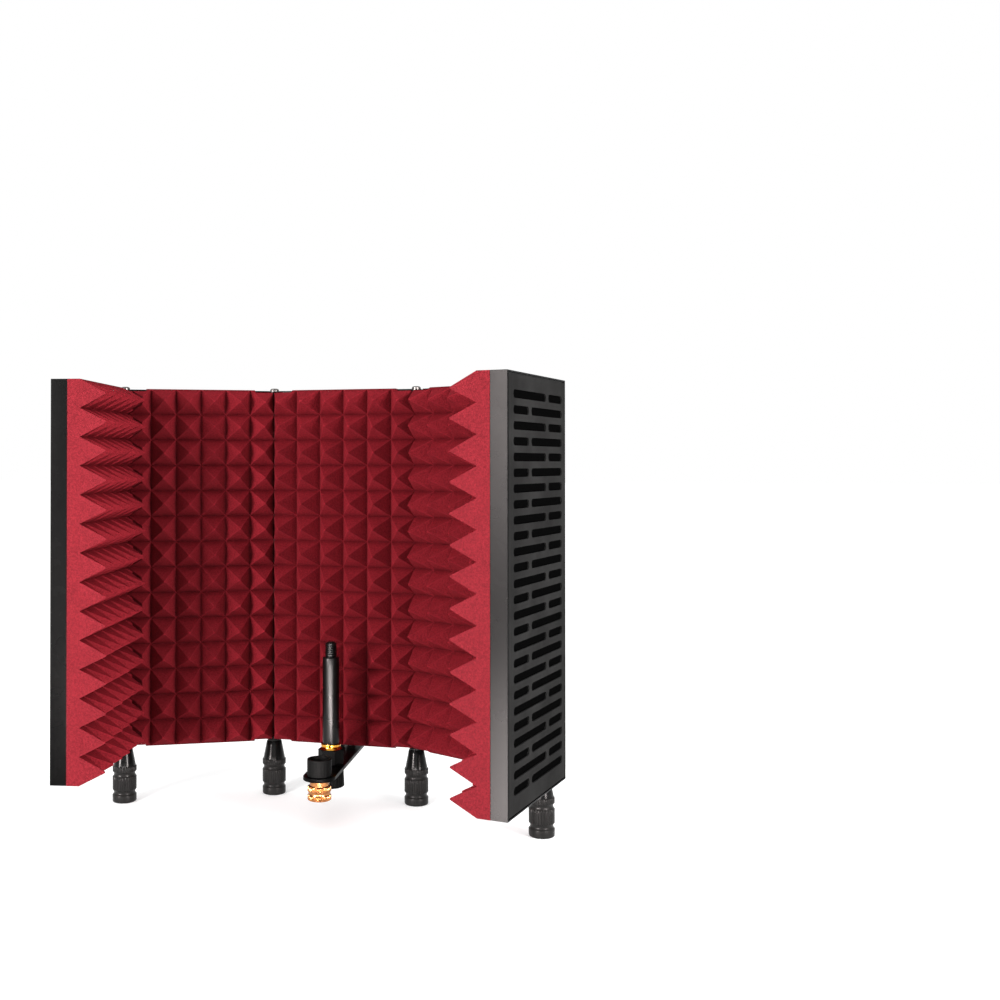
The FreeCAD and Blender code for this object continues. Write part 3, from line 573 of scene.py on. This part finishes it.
def foam_piece(panel):
    """A panel's foam: mitred at its corners, carved round the bolts and ears, then worn."""
    node = f"pyramid_foam_{panel}"
    left = -FREE_END if panel == 1 else -FOAM_HALF
    right = FREE_END if panel == 5 else FOAM_HALF
    valley = {1: -FREE_END + COLUMN / 2, 5: FREE_END - COLUMN / 2}.get(panel, -FOAM_HALF)
    shape = foam_block(left, right, valley)

    mitres = []
    for side, joint in CORNERS[panel]:
        lean = mitre_angle(joint)
        corner = Vector((FOAM_HALF * side, 0, 0))
        outward = Vector((math.cos(lean) * side, -math.sin(lean), 0))
        mitres.append((corner, outward))
        made = bmesh.ops.bisect_plane(
            shape, geom=shape.verts[:] + shape.edges[:] + shape.faces[:], dist=1e-7,
            plane_co=corner, plane_no=outward, clear_outer=True)
        cut = [e for e in made["geom_cut"] if isinstance(e, bmesh.types.BMEdge)]
        bmesh.ops.edgeloop_fill(shape, edges=[e for e in cut if e.is_boundary])
    mesh = bpy.data.meshes.new(f"{node}_foam")
    shape.to_mesh(mesh)
    shape.free()

    carved = bpy.data.objects.new("carved", mesh)
    bpy.context.scene.collection.objects.link(carved)
    tools = []
    for side, joint in CORNERS[panel]:
        bolt = Matrix.Translation((HALF_PITCH * side, 0, (FOAM_LOW.z + FOAM_HIGH.z) / 2))
        tools.append(cutter(lambda s: bmesh.ops.create_cone(
            s, cap_ends=True, segments=24, radius1=GROOVE, radius2=GROOVE, depth=0.4,
            matrix=bolt)))
        for level in (NOTCH - 0.01, FOAM_HIGH.z + FOAM_LOW.z - NOTCH + 0.01):
            size = Matrix.Diagonal((NOTCH_INNER * 2, NOTCH_DEEP * 2, 0.02, 1))
            spot = Matrix.Translation((HALF_PITCH * side, 0, level))
            tools.append(cutter(lambda s: bmesh.ops.create_cube(s, size=1, matrix=spot @ size)))
    for tool in tools:
        cut = carved.modifiers.new("cut", "BOOLEAN")
        cut.operation, cut.solver, cut.object = "DIFFERENCE", "EXACT", tool
    graph = bpy.context.evaluated_depsgraph_get()
    mesh = bpy.data.meshes.new_from_object(carved.evaluated_get(graph))
    mesh.name = f"{node}_foam"
    for used in (*tools, carved):
        bpy.data.objects.remove(used)

    # Each pyramid's tip leans a little and is worn down a little, at random.
    cell = mesh.attributes.new("cell", "FLOAT_VECTOR", "POINT")
    dice = random.Random(panel)
    tips = {}
    on_cut = []
    for vertex in mesh.vertices:
        x, _, z = vertex.co
        u, v = (x - valley) / COLUMN, (z - FOAM_LOW.z) / ROW
        cell.data[vertex.index].vector = (u, v, 0)
        key = (math.floor(u), math.floor(v))
        if key not in tips:
            tips[key] = (dice.uniform(-0.5, 0.5), dice.uniform(0.0, 0.8), dice.uniform(-0.5, 0.5))
    for face in mesh.polygons:
        middle = face.center
        flat_end = any(
            abs((middle - corner).dot(outward)) < 0.01 * MM for corner, outward in mitres)
        side_wall = abs(face.normal.y) < 0.02
        on_cut.append(flat_end or (side_wall and abs(face.normal.x) > 0.98
                                   and abs(middle.x) > FOAM_HALF - 1 * MM)
                      or (side_wall and abs(face.normal.z) > 0.98)
                      or face.normal.y > 0.5)
    for vertex in mesh.vertices:
        x, y, z = vertex.co
        if y > VALLEY + 0.01 * MM:
            continue
        u, v = (x - valley) / COLUMN, (z - FOAM_LOW.z) / ROW
        lean_x, lower, lean_z = tips[(math.floor(u), math.floor(v))]
        up = (VALLEY - y) / TOOTH
        wave = noise.noise(Vector((x, z, panel)) / (9 * MM))
        fine = noise.noise(Vector((x, z, panel + 9)) / (2.2 * MM))
        at_free_end = abs(abs(x) - FREE_END) < 1e-6 and panel in (1, 5)
        shift = 0.0 if at_free_end else lean_x * up
        sink = (lower * up + 0.18 * (1 + wave) + 0.06 * (1 + fine)) * MM
        moved = Vector((x + shift * MM, y + sink, z + lean_z * up * MM))
        for corner, outward in mitres:
            beyond = (moved - corner).dot(outward)
            if beyond > 0:
                moved -= outward * beyond
        moved.z = max(FOAM_LOW.z, min(FOAM_HIGH.z, moved.z))
        vertex.co = moved
    mesh.transform(PANELS[panel])
    piece = new_piece(f"red_foam_{panel}", mesh, node, "red_foam", sharp=22)
    # The flat cut faces take the foam copy with painted sheen.
    mesh.materials.append(CUT_FOAM_PAINTED_SHEEN)
    for face, cut_face in zip(mesh.polygons, on_cut):
        face.material_index = 1 if cut_face else 0


# ---------------------------------------------------------------- felt and wadding

def soft_sheet(node, name, slot, step, unevenness, panel):
    """A soft sheet in the tray: its broad faces are uneven by some mm and its edges rounded."""
    inverse = PANELS[panel].inverted()
    corners = [inverse @ vertex.co for vertex in NODES[node].data.vertices]
    low = Vector([min(c[i] for c in corners) for i in range(3)])
    high = Vector([max(c[i] for c in corners) for i in range(3)])
    middle, half = (low + high) / 2, (high - low) / 2
    across, up = (max(4, round(2 * h / step)) for h in (half.x, half.z))
    shape = bmesh.new()
    faces = {}
    for face in (-1, 1):
        grid = []
        for i in range(across + 1):
            line = []
            for k in range(up + 1):
                s, t = 2 * i / across - 1, 2 * k / up - 1
                x, z = middle.x + s * half.x, middle.z + t * half.z
                edge = min(half.x * (1 - abs(s)), half.z * (1 - abs(t)))
                rounding = half.y * 0.45 * max(0.0, 1 - edge / (2 * half.y)) ** 2
                rough = noise.fractal(Vector((x, z, face + panel)) / (6 * MM), 1.0, 2.0, 3)
                sunk = rounding + unevenness * MM * min(1.0, abs(rough) + 0.1)
                line.append(shape.verts.new((x, middle.y + face * (half.y - sunk), z)))
            grid.append(line)
        faces[face] = grid
        for i in range(across):
            for k in range(up):
                corners = (grid[i][k], grid[i + 1][k], grid[i + 1][k + 1], grid[i][k + 1])
                shape.faces.new(corners if face < 0 else corners[::-1])
    rim = rim_of(across, up)
    for n, (i, k) in enumerate(rim):
        j, m = rim[(n + 1) % len(rim)]
        shape.faces.new((faces[-1][i][k], faces[1][i][k], faces[1][j][m], faces[-1][j][m]))
    bmesh.ops.recalc_face_normals(shape, faces=shape.faces)
    mesh = bpy.data.meshes.new(name)
    shape.to_mesh(mesh)
    shape.free()
    mesh.transform(PANELS[panel])
    piece = new_piece(name, mesh, node, slot, sharp=60)


for panel in range(1, 6):
    foam_piece(panel)
    soft_sheet(
        f"felt_liner_{panel}", f"black_felt_{panel}", "black_felt", 3 * MM, 0.35, panel)
    soft_sheet(
        f"absorber_batt_{panel}", f"wadding_{panel}", "grey_batt", 6 * MM, 0.5, panel)
    softened(f"tray_frame_{panel}", f"folded_tray_{panel}", "frame_black", 0.30)
    softened(f"grille_{panel}", f"slotted_grille_{panel}", "grille_black", 0.18)
    softened(f"hinge_ears_{panel}", f"ears_{panel}", "frame_black", 0.15)
    repainted(f"backer_board_{panel}", "black_board")


# ---------------------------------------------------------------- hinge bolts and feet

def washer_rings(bore, radius, low, high, edge):
    """A washer's section, with its outer edges rounded."""
    return ([(bore, low), (radius - edge, low)] + arc(radius - edge, low + edge, -90, 0, edge, 3)
            + arc(radius - edge, high - edge, 0, 90, edge, 3) + [(bore, high)])


def foot(number):
    """A knurled foot: rings over its outside from the bottom up, then down its bolt's bore."""
    node = f"foot_{number}"
    base, top = (corner.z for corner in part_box(node))
    heights = [6.6, 3.9, 11.8, 3.9, 4.8, 15.6]      # base, groove, barrel, groove, ring, cone
    marks = [base]
    for height in heights:
        marks.append(marks[-1] + height * MM)
    _, groove_1, barrel_low, barrel_top, ring_low, cone_low, collar_low = marks
    full, waist, neck, collar = (r * MM for r in (10.25, 9.15, 6.5, 6.1))
    slope = 1.1 * MM
    flutes = fluted(full, 0.38 * MM, 30)
    rings = [(0, base + 0.5 * MM), (3.0 * MM, base + 0.5 * MM), (3.4 * MM, base)]
    rings += arc(full - 1.6 * MM, base + 1.6 * MM, -90, 0, 1.6 * MM, 6)
    rings += arc(full - 0.4 * MM, groove_1 - 0.4 * MM, 0, 70, 0.4 * MM, 3)
    rings += [(waist, groove_1 + slope), (waist - 0.1 * MM, (groove_1 + barrel_low) / 2),
              (waist, barrel_low - slope)]
    rings += [(full - 0.5 * MM, barrel_low), (flutes, barrel_low + 0.5 * MM)]
    rings += [(flutes, barrel_low + share * (barrel_top - barrel_low))
              for share in (0.3, 0.5, 0.7)]
    rings += [(flutes, barrel_top - 0.5 * MM), (full - 0.5 * MM, barrel_top)]
    rings += [(waist, barrel_top + slope), (waist - 0.1 * MM, (barrel_top + ring_low) / 2),
              (waist, ring_low - slope)]
    rings += [(full - 0.45 * MM, ring_low), (flutes, ring_low + 0.45 * MM),
              (flutes, cone_low - 0.45 * MM), (full - 0.4 * MM, cone_low),
              (full - 0.75 * MM, cone_low + 0.02 * MM)]
    for share in (0.02, 0.25, 0.5, 0.75, 0.97):
        rings.append((full - 0.7 * MM + share * (neck - full + 0.7 * MM),
                      cone_low + share * (collar_low - cone_low)))
    rings += [(neck - 0.3 * MM, collar_low), (collar - 1.0 * MM, collar_low),
              (collar - 1.0 * MM, collar_low + 0.5 * MM),
              (collar - 0.2 * MM, collar_low + 0.55 * MM)]
    rings += arc(collar - 0.3 * MM, top - 0.3 * MM, 0, 90, 0.3 * MM, 3)
    bore = 2.06 * MM
    rings += [(bore + 0.4 * MM, top), (bore, top - 0.4 * MM), (bore, base + 23 * MM),
              (0, base + 22.4 * MM)]
    made = turned(f"knurled_foot_{number}", node, "foot_black", HINGES[number], rings,
                  segments=288, sharp=32)
    band(made, GLOSS_BLACK, cone_low + 0.1 * MM, collar_low + 0.5 * MM)


def domed_head(radius, low, crown, drive):
    """Rings over a button head, from its socket's floor out to its rim."""
    top = low + crown
    floor = top - crown * 0.55
    rings = [(0, floor - 0.25 * MM), (six_sided(drive * 0.9), floor), (six_sided(drive), floor),
             (six_sided(drive), top - 0.15 * MM), (drive * 1.32, top - 0.02 * MM)]
    for k in range(1, 9):
        lean = math.radians(12 + 76 * k / 8)
        rings.append((drive * 1.32 + (radius - drive * 1.32) * math.sin(lean) ** 1.15,
                      low + 0.25 * crown + 0.75 * crown * math.cos(lean) ** 0.8))
    return rings + [(radius, low + 0.18 * crown), (radius - 0.15 * MM, low)]


def hinge_bolt(number):
    """A long bolt, its shank painted near-black as shade in the foam's seam, and the washer under the head."""
    node = f"hinge_bolt_{number}"
    low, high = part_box(node)
    head, crown = 3.9 * MM, 2.4 * MM
    seat = high.z - crown
    shank = 2.0 * MM
    rings = domed_head(head, seat, crown, 1.25 * MM)
    rings += [(shank + 0.2 * MM, seat), (shank, seat - 0.3 * MM), (shank, low.z + 34 * MM)]
    rings += thread(low.z + 33 * MM, low.z + 1.0 * MM, 0.7 * MM, shank, shank - 0.32 * MM, 6)
    rings += [(shank - 0.6 * MM, low.z), (0, low.z)]
    made = turned(f"long_hinge_bolt_{number}", node, "bright_steel", HINGES[number], rings,
                  segments=48)
    # The shank below the head takes the painted shade.
    band(made, SHANK_PAINTED_SHADE, low.z - 1.0 * MM, seat - 0.5 * MM)

    node = f"bolt_washer_{number}"
    low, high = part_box(node)
    turned(f"plain_washer_{number}", node, "bright_steel", HINGES[number],
           washer_rings(2.2 * MM, 4.5 * MM, low.z, high.z, 0.15 * MM), segments=64, loop=True)


for number in HINGES:
    foot(number)
    hinge_bolt(number)


# ---------------------------------------------------------------- arm and its hardware

ROD_AT = JOINTS["rod_turn"]["pos_m"]
STAND_AT = JOINTS["adapter_turn"]["pos_m"]
PIVOT_AT = JOINTS["arm_swivel"]["pos_m"]
ARM_TURN = math.radians(-sum(JOINTS["arm_swivel"]["range_deg"]) / 2)
TAIL_BORE = 4.06 * MM           # through the collar, the nut and the knob on the rod's tail
COLLAR_LOW, COLLAR_TOP = (corner.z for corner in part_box("rod_ring"))


def arm_spacer():
    low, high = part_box("pivot_spacer")
    turned("arm_spacer", "pivot_spacer", "bright_steel", PIVOT_AT,
           washer_rings(3.08 * MM, 6.5 * MM, low.z, high.z, 0.3 * MM), loop=True)


def pivot_screw():
    """Its dome faces down; the shoulder reaches through the arm and the spacer."""
    low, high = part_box("pivot_screw")
    crown, shoulder, shank, root = (r * MM for r in (2.6, 3.0, 2.5, 2.1))
    seat = low.z + crown
    shoulder_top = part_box("pivot_spacer")[1].z
    rings = [(r, 2 * seat - h) for r, h in domed_head(5.5 * MM, seat, crown, 1.9 * MM)]
    rings += [(shoulder, seat), (shoulder, shoulder_top), (shank, shoulder_top)]
    rings += thread(shoulder_top + 0.3 * MM, high.z - 0.2 * MM, 0.8 * MM, shank, root, 6)
    rings += [(2.0 * MM, high.z), (0, high.z)]
    turned("shouldered_pivot_screw", "pivot_screw", "bright_steel", PIVOT_AT, rings, segments=48)


def microphone_rod():
    """The 3/8 in - 16 stud on top, the round rod, and its threaded tail."""
    low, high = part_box("mic_rod")
    rod, stud, tail = 6.9 * MM, 4.7625 * MM, 4.0 * MM
    stud_pitch, tail_pitch = 1.5875 * MM, 1.25 * MM
    shoulder = high.z - 12.8 * MM
    rings = [(0, high.z), (1.6 * MM, high.z - 0.03 * MM), (2.7 * MM, high.z - 0.22 * MM),
             (stud - 1.2 * MM, high.z - 0.65 * MM), (stud - 0.75 * MM, high.z - 1.2 * MM)]
    rings += thread(high.z - 1.5 * MM, shoulder + 1.3 * MM, stud_pitch, stud, stud - 0.80 * MM, 14)
    rings += [(stud - 0.45 * MM, shoulder + 0.7 * MM), (stud - 0.2 * MM, shoulder + 0.05 * MM),
              (rod - 0.9 * MM, shoulder)]
    rings += arc(rod - 0.8 * MM, shoulder - 0.8 * MM, 90, 0, 0.8 * MM, 5)
    rings += [(rod, shoulder + share * (COLLAR_TOP - shoulder)) for share in (0.1, 0.5, 0.95)]
    rings += [(rod - 0.25 * MM, COLLAR_TOP), (tail, COLLAR_TOP)]
    rings += thread(COLLAR_TOP - 0.3 * MM, low.z + 0.9 * MM, tail_pitch, tail, tail - 0.5 * MM, 8)
    rings += [(tail - 0.8 * MM, low.z), (0, low.z)]
    turned("microphone_rod", "mic_rod", "rod_black", ROD_AT, rings, segments=72)


def brass_collar():
    """Wide at its foot, curving in to a waist, with a bead on top."""
    tall = COLLAR_TOP - COLLAR_LOW
    foot_radius, waist, bead = 9.2 * MM, 7.7 * MM, 7.9 * MM
    rings = [(TAIL_BORE, COLLAR_LOW), (9.0 * MM, COLLAR_LOW),
             (foot_radius, COLLAR_LOW + 0.25 * MM)]
    for share in (0.15, 0.3, 0.45):
        rings.append((foot_radius - 1.5 * MM * math.sin(share / 0.5 * math.pi / 2),
                      COLLAR_LOW + tall * share))
    rings += [(waist, COLLAR_LOW + tall * 0.5), (8.05 * MM, COLLAR_LOW + tall * 0.58)]
    rings += arc(bead, COLLAR_LOW + tall * 0.7, -60, 0, 0.3 * MM, 3)
    rings += arc(bead, COLLAR_TOP - 0.3 * MM, 0, 90, 0.3 * MM, 3) + [(TAIL_BORE, COLLAR_TOP)]
    turned("brass_collar", "rod_ring", "gold_brass", ROD_AT, rings, segments=96, loop=True)


def rod_hex_nut():
    """A hexagon whose corners are turned off by a cone near its end faces."""
    low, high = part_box("rod_nut")
    flat = 10.8 * MM * math.cos(TURN / 12)
    sides = six_sided(flat)

    def chamfered(near_end):
        return lambda angle: min(sides(angle), flat + 0.05 * MM + near_end * 1.9)

    rings = [(TAIL_BORE, low.z), (TAIL_BORE + 0.5 * MM, low.z)]
    for rise in (0.0, 0.25, 0.5, 0.75, 1.0, 2.0):
        rings.append((chamfered(rise * MM), low.z + rise * MM))
    for fall in (2.0, 1.0, 0.75, 0.5, 0.25, 0.0):
        rings.append((chamfered(fall * MM), high.z - fall * MM))
    rings += [(TAIL_BORE + 0.5 * MM, high.z), (TAIL_BORE, high.z)]
    turned("rod_hex_nut", "rod_nut", "knob_black", ROD_AT, rings, segments=96, loop=True,
           phase=ARM_TURN, sharp=26)


def clamping_knob():
    """A fluted knob with a closed bottom, a little narrower toward its top."""
    low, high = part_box("rod_knob")
    widest, bottom_edge, taper = 11.2 * MM, 1.7 * MM, 0.8 * MM
    rings = [(0, low.z + 0.4 * MM), (4.5 * MM, low.z + 0.4 * MM), (5.0 * MM, low.z)]
    rings += arc(widest - bottom_edge, low.z + bottom_edge, -90, -20, bottom_edge, 5)
    for share in (0.14, 0.3, 0.5, 0.7, 0.93):
        rings.append((fluted(widest - taper * share, 0.30 * MM, 18),
                      low.z + share * (high.z - low.z)))
    rings += [(9.9 * MM, high.z), (TAIL_BORE, high.z), (TAIL_BORE, low.z + 2.1 * MM),
              (0, low.z + 2.0 * MM)]
    turned("clamping_knob", "rod_knob", "knob_black", ROD_AT, rings, segments=144, sharp=34)


def cup_nut():
    """A round nut with a finely fluted wall and a recess in its top."""
    low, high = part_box("cup_nut")
    wall, recess, bore, deep = 9.8 * MM, 7.6 * MM, 6.06 * MM, 4.0 * MM
    rings = [(bore, low.z), (9.4 * MM, low.z), (wall, low.z + 0.4 * MM)]
    for share in (0.08, 0.3, 0.6, 0.9):
        rings.append((fluted(wall, 0.14 * MM, 24), low.z + share * (high.z - low.z)))
    rings += arc(wall - 0.7 * MM, high.z - 0.7 * MM, 0, 90, 0.7 * MM, 5)
    rings += arc(recess + 0.4 * MM, high.z - 0.4 * MM, 90, 180, 0.4 * MM, 3)
    rings += [(recess, high.z - 3.7 * MM), (7.3 * MM, high.z - deep), (bore, high.z - deep)]
    turned("cup_nut_black", "cup_nut", "knob_black", STAND_AT, rings, segments=144, loop=True,
           sharp=34)


def knurled_adapter():
    """The stand's thread inside, two knurled rings outside, and the shank for the cup nut."""
    low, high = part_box("stand_adapter")
    full, waist, neck, shank, inside = (r * MM for r in (9.5, 8.85, 7.7, 6.0, 7.43))
    inside_pitch = 25.4 / 27 * MM
    lower_top = low.z + 4.2 * MM
    upper_low = lower_top + 2.7 * MM
    upper_top = upper_low + 4.2 * MM
    neck_top = upper_top + 4.9 * MM
    thread_top = low.z + 10.5 * MM
    knurl = fluted(full, 0.38 * MM, 60)
    rings = [(0, thread_top + 0.3 * MM), (inside * 0.6, thread_top),
             (inside, thread_top - 0.2 * MM)]
    rings += thread(thread_top - 0.3 * MM, low.z + 0.7 * MM, inside_pitch, inside,
                    inside + 0.5 * MM, 8)
    rings += [(inside + 0.6 * MM, low.z + 0.05 * MM), (full - 0.5 * MM, low.z),
              (knurl, low.z + 0.5 * MM), (knurl, lower_top - 0.4 * MM),
              (full - 0.4 * MM, lower_top)]
    rings += [(waist, lower_top + 0.6 * MM), (waist - 0.05 * MM, (lower_top + upper_low) / 2),
              (waist, upper_low - 0.6 * MM)]
    rings += [(full - 0.4 * MM, upper_low), (knurl, upper_low + 0.4 * MM),
              (knurl, upper_top - 0.5 * MM), (full - 0.5 * MM, upper_top),
              (neck + 0.3 * MM, upper_top), (neck, upper_top + 0.3 * MM),
              (neck, neck_top - 0.2 * MM), (neck - 0.2 * MM, neck_top), (shank, neck_top)]
    rings += thread(neck_top + 0.3 * MM, high.z - 0.6 * MM, 1.0 * MM, shank, shank - 0.5 * MM, 7)
    rings += [(shank - 0.7 * MM, high.z), (0, high.z)]
    turned("knurled_stand_adapter", "stand_adapter", "copper_brass", STAND_AT, rings,
           segments=240, sharp=32)


softened("arm_plate", "swivel_arm", "arm_black", 0.45)
repainted("weld_nut", "bright_steel")
for make in (arm_spacer, pivot_screw, microphone_rod, brass_collar, rod_hex_nut, clamping_knob,
             cup_nut, knurled_adapter):
    make()


# ---------------------------------------------------------------- floor, light and camera

def floor():
    """A pale paper floor, faintly luminous so that it stays white."""
    mesh = bpy.data.meshes.new("studio_floor")
    reach = 16.0
    mesh.from_pydata([(-reach, -reach, 0), (reach, -reach, 0), (reach, reach, 0),
                      (-reach, reach, 0)], [], [(0, 1, 2, 3)])
    plane = bpy.data.objects.new("studio_floor", mesh)
    bpy.context.scene.collection.objects.link(plane)
    paper = Finish("studio_paper", (0.92, 0.92, 0.92), 0.9, Specular_IOR_Level=0.0,
                   Emission_Color=(1.0, 1.0, 1.0, 1.0), Emission_Strength=0.22)
    mesh.materials.append(paper.material)


WARM = (1.0, 0.90, 0.88)
AIM = (CAD_LOW + CAD_HIGH) / 2          # the object's middle


def from_middle(azimuth, elevation, distance):
    """A place round the object, from angles in degrees."""
    a, e = math.radians(azimuth), math.radians(elevation)
    back = Vector((math.sin(a) * math.cos(e), -math.cos(a) * math.cos(e), math.sin(e)))
    return AIM + back * distance, back


def area_light(name, azimuth, elevation, distance, width, height, power, lights):
    """A soft box round the object; azimuth 0 is in front of it and 90 at its right.  It either
    lights matt surfaces or gives the gloss."""
    place, back = from_middle(azimuth, elevation, distance)
    add_lamp(name, width, height, power, lights,
             Matrix.Translation(place) @ back.to_track_quat("Z", "Y").to_matrix().to_4x4())


def low_card(name, where, width, length, turn, power):
    """A gloss-only card just above the floor, facing up; it is mirrored low in the metal."""
    above_floor = 4 * MM
    add_lamp(name, width, length, power, "gloss",
             Matrix.Translation((*where, above_floor))
             @ Matrix.Rotation(math.radians(-turn), 4, "Z")
             @ Matrix.Rotation(math.pi, 4, "X"))


def add_lamp(name, width, height, power, lights, place):
    lamp = bpy.data.lights.new(name, "AREA")
    lamp.shape, lamp.size, lamp.size_y = "RECTANGLE", width, height
    lamp.energy = power
    if lights == "gloss":
        lamp.color = WARM
    made = bpy.data.objects.new(name, lamp)
    bpy.context.scene.collection.objects.link(made)
    made.matrix_world = place
    made.visible_camera = False
    made.visible_diffuse = lights == "matt"
    made.visible_glossy = lights == "gloss"


def studio():
    world = bpy.data.worlds.new("studio")
    world.use_nodes = True
    background = world.node_tree.nodes["Background"]
    background.inputs["Color"].default_value = (1.0, 1.0, 1.0, 1.0)
    background.inputs["Strength"].default_value = 1.0
    bpy.context.scene.world = world
    bpy.context.scene.view_settings.view_transform = "Standard"
    area_light("key", -19, 4, 2.2, 0.7, 0.9, 116, "matt")
    area_light("fill", 64, 6, 2.2, 0.9, 0.9, 92, "matt")
    area_light("gloss_left", -27.4, 8, 5.0, 0.75, 2.2, 900, "gloss")
    area_light("gloss_right", 54, 4, 1.6, 0.22, 1.2, 90, "gloss")
    low_card("gloss_low", (0.0, -0.48), 0.16, 0.62, 33, 40)


def camera():
    """Where the photographer stands: azimuth, elevation and distance from the object's
    middle, and how far the level look turns from straight ahead."""
    place, _ = from_middle(18.736, 6.711, 0.97577)
    yaw, pitch = math.radians(15.54), math.radians(0.58)
    lens = bpy.data.cameras.new("camera")
    lens.lens, lens.sensor_width = 43.1, 36.0
    lens.shift_x, lens.shift_y = 0.12, -0.05
    lens.clip_start, lens.clip_end = 0.01, 50
    made = bpy.data.objects.new("camera", lens)
    bpy.context.scene.collection.objects.link(made)
    made.location = place
    made.rotation_euler = (math.pi / 2 + pitch, 0, yaw)
    bpy.context.scene.camera = made


floor()
studio()
camera()
